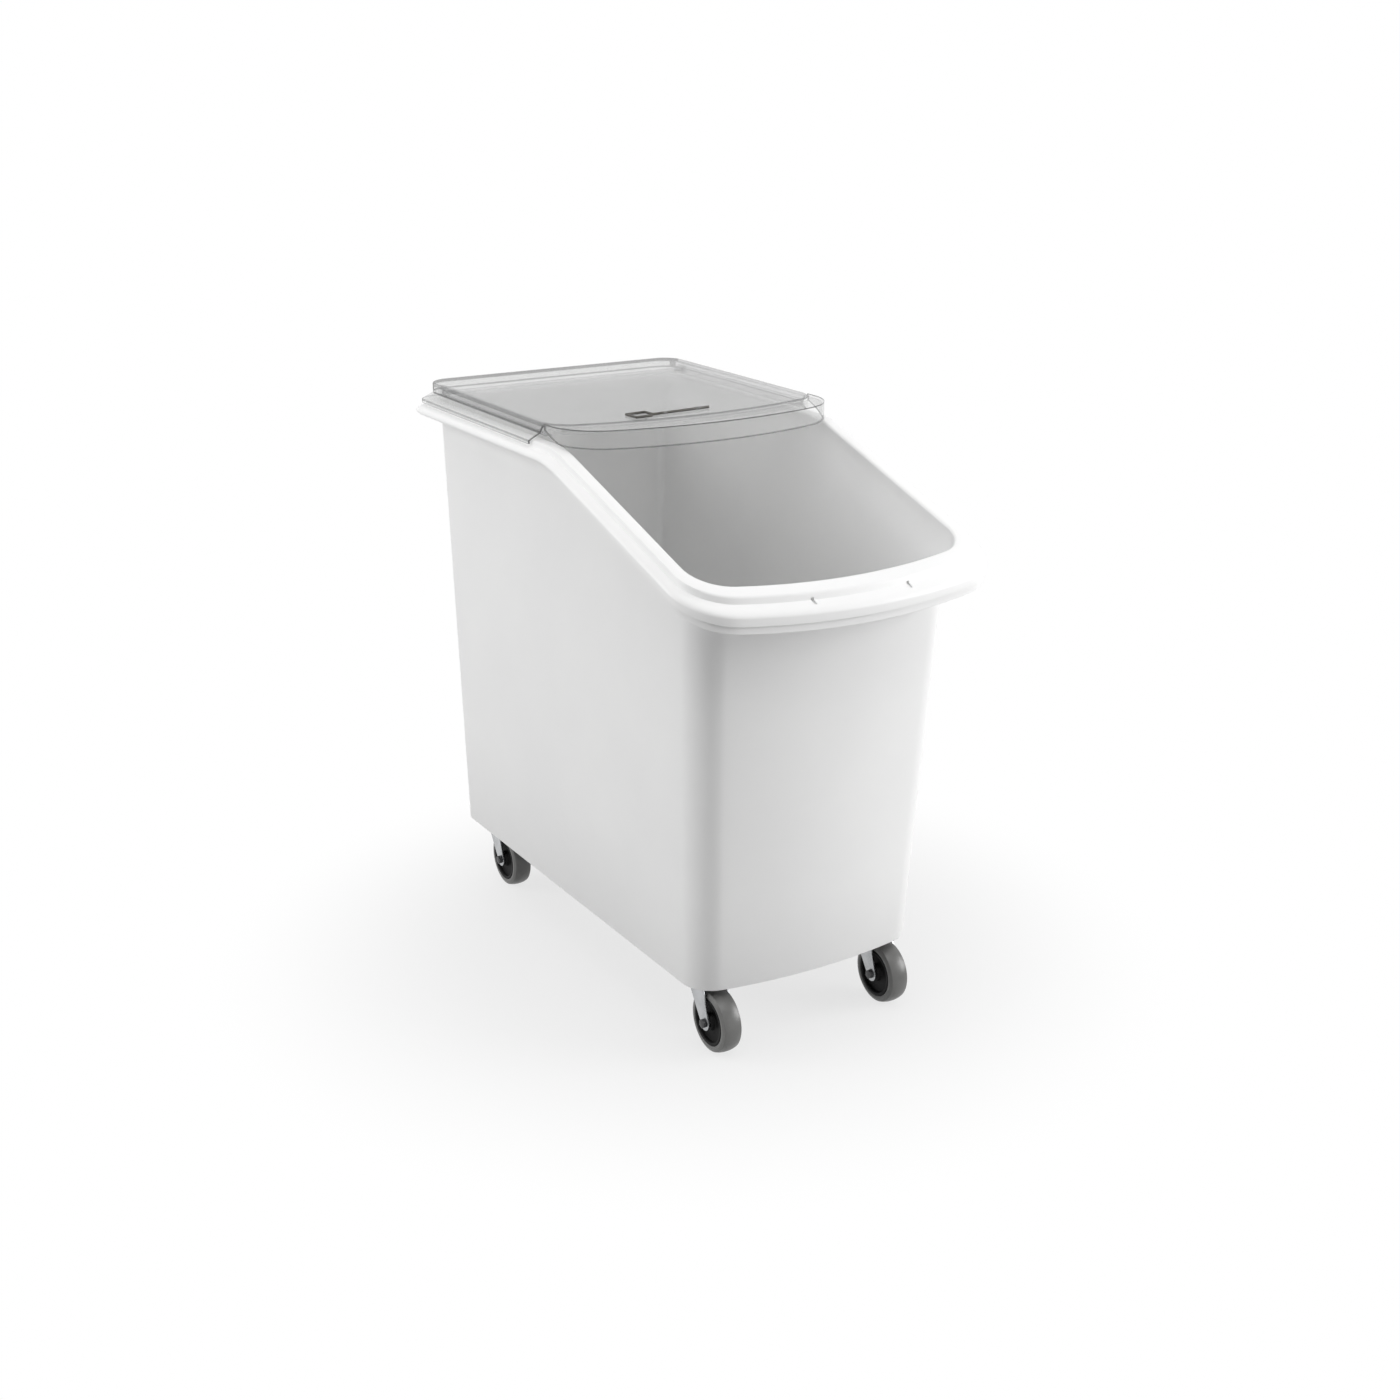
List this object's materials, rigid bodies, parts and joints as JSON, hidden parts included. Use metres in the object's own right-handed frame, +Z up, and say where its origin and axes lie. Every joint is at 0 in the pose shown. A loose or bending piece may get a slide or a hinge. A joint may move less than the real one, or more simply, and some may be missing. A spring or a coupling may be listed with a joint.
{
  "type": "rolling ingredient bin",
  "caption": "White slant-front ingredient bin on swivel casters, with a fixed clear rear lid and a clear front lid that slides forward from under it and tilts down over the mouth.",
  "frame": {"origin": "on the ground, under the middle of the rim's length and width", "axes": "+Z up, -Y toward the slanted front, +X toward the right of a person who stands before the front and looks at it"},
  "size_m": [0.398, 0.726, 0.6885],
  "materials": {
    "tub_plastic": "satin moulded white",
    "clear_sheet": "clear, slightly grey, polished",
    "guide_plastic": "smooth white",
    "steel": "plain bright",
    "zinc": "bright zinc plate",
    "dark_wire": "dark coated wire",
    "insert_brass": "plain",
    "hub_plastic": "black moulded",
    "tread_rubber": "smooth grey tread"
  },
  "bodies": {
    "bin": {"tub": "tub_plastic", "rear_lid": "clear_sheet", "rail_left": "guide_plastic", "rail_right": "guide_plastic", "scoop_hook": "dark_wire", "hook_clips": "guide_plastic", "caster_inserts": "insert_brass", "head_fl": "zinc", "kingpin_fl": "zinc", "mount_bolt_fl": "steel", "balls_fl": "steel", "head_fr": "zinc", "kingpin_fr": "zinc", "mount_bolt_fr": "steel", "balls_fr": "steel", "head_rl": "zinc", "kingpin_rl": "zinc", "mount_bolt_rl": "steel", "balls_rl": "steel", "head_rr": "zinc", "kingpin_rr": "zinc", "mount_bolt_rr": "steel", "balls_rr": "steel"},
    "lid_runner": {"runner_left": "guide_plastic", "runner_right": "guide_plastic"},
    "front_lid": {"front_lid": "clear_sheet", "lid_pins": "steel"},
    "fork_fl": {"fork_fl": "zinc", "axle_bolt_fl": "steel", "axle_nut_fl": "steel", "axle_bush_fl": "steel"},
    "wheel_fl": {"hub_fl": "hub_plastic", "tyre_fl": "tread_rubber"},
    "fork_fr": {"fork_fr": "zinc", "axle_bolt_fr": "steel", "axle_nut_fr": "steel", "axle_bush_fr": "steel"},
    "wheel_fr": {"hub_fr": "hub_plastic", "tyre_fr": "tread_rubber"},
    "fork_rl": {"fork_rl": "zinc", "axle_bolt_rl": "steel", "axle_nut_rl": "steel", "axle_bush_rl": "steel"},
    "wheel_rl": {"hub_rl": "hub_plastic", "tyre_rl": "tread_rubber"},
    "fork_rr": {"fork_rr": "zinc", "axle_bolt_rr": "steel", "axle_nut_rr": "steel", "axle_bush_rr": "steel"},
    "wheel_rr": {"hub_rr": "hub_plastic", "tyre_rr": "tread_rubber"}
  },
  "joints": [
    {"name": "lid_slide", "type": "slide", "parent": "bin", "child": "lid_runner", "axis": [0, -1, 0], "range_m": [0, 0.278]},
    {"name": "front_lid_tilt", "type": "hinge", "parent": "lid_runner", "child": "front_lid", "pos_m": [0, 0.308, 0.6744], "axis": [1, 0, 0], "range_deg": [0, 15.15]},
    {"name": "swivel_fl", "type": "hinge", "parent": "bin", "child": "fork_fl", "pos_m": [-0.1165, -0.2245, 0.0905], "axis": [0, 0, 1], "continuous": true},
    {"name": "wheel_spin_fl", "type": "hinge", "parent": "fork_fl", "child": "wheel_fl", "pos_m": [-0.1165, -0.2515, 0.0375], "axis": [1, 0, 0], "continuous": true},
    {"name": "swivel_fr", "type": "hinge", "parent": "bin", "child": "fork_fr", "pos_m": [0.1165, -0.2245, 0.0905], "axis": [0, 0, 1], "continuous": true},
    {"name": "wheel_spin_fr", "type": "hinge", "parent": "fork_fr", "child": "wheel_fr", "pos_m": [0.1165, -0.2515, 0.0375], "axis": [1, 0, 0], "continuous": true},
    {"name": "swivel_rl", "type": "hinge", "parent": "bin", "child": "fork_rl", "pos_m": [-0.1165, 0.3085, 0.0905], "axis": [0, 0, 1], "continuous": true},
    {"name": "wheel_spin_rl", "type": "hinge", "parent": "fork_rl", "child": "wheel_rl", "pos_m": [-0.1165, 0.2815, 0.0375], "axis": [1, 0, 0], "continuous": true},
    {"name": "swivel_rr", "type": "hinge", "parent": "bin", "child": "fork_rr", "pos_m": [0.1165, 0.3085, 0.0905], "axis": [0, 0, 1], "continuous": true},
    {"name": "wheel_spin_rr", "type": "hinge", "parent": "fork_rr", "child": "wheel_rr", "pos_m": [0.1165, 0.2815, 0.0375], "axis": [1, 0, 0], "continuous": true}
  ],
  "couplings": [
    {"joint": "front_lid_tilt", "follows": "lid_slide", "rad_per_m": 0.9511}
  ]
}
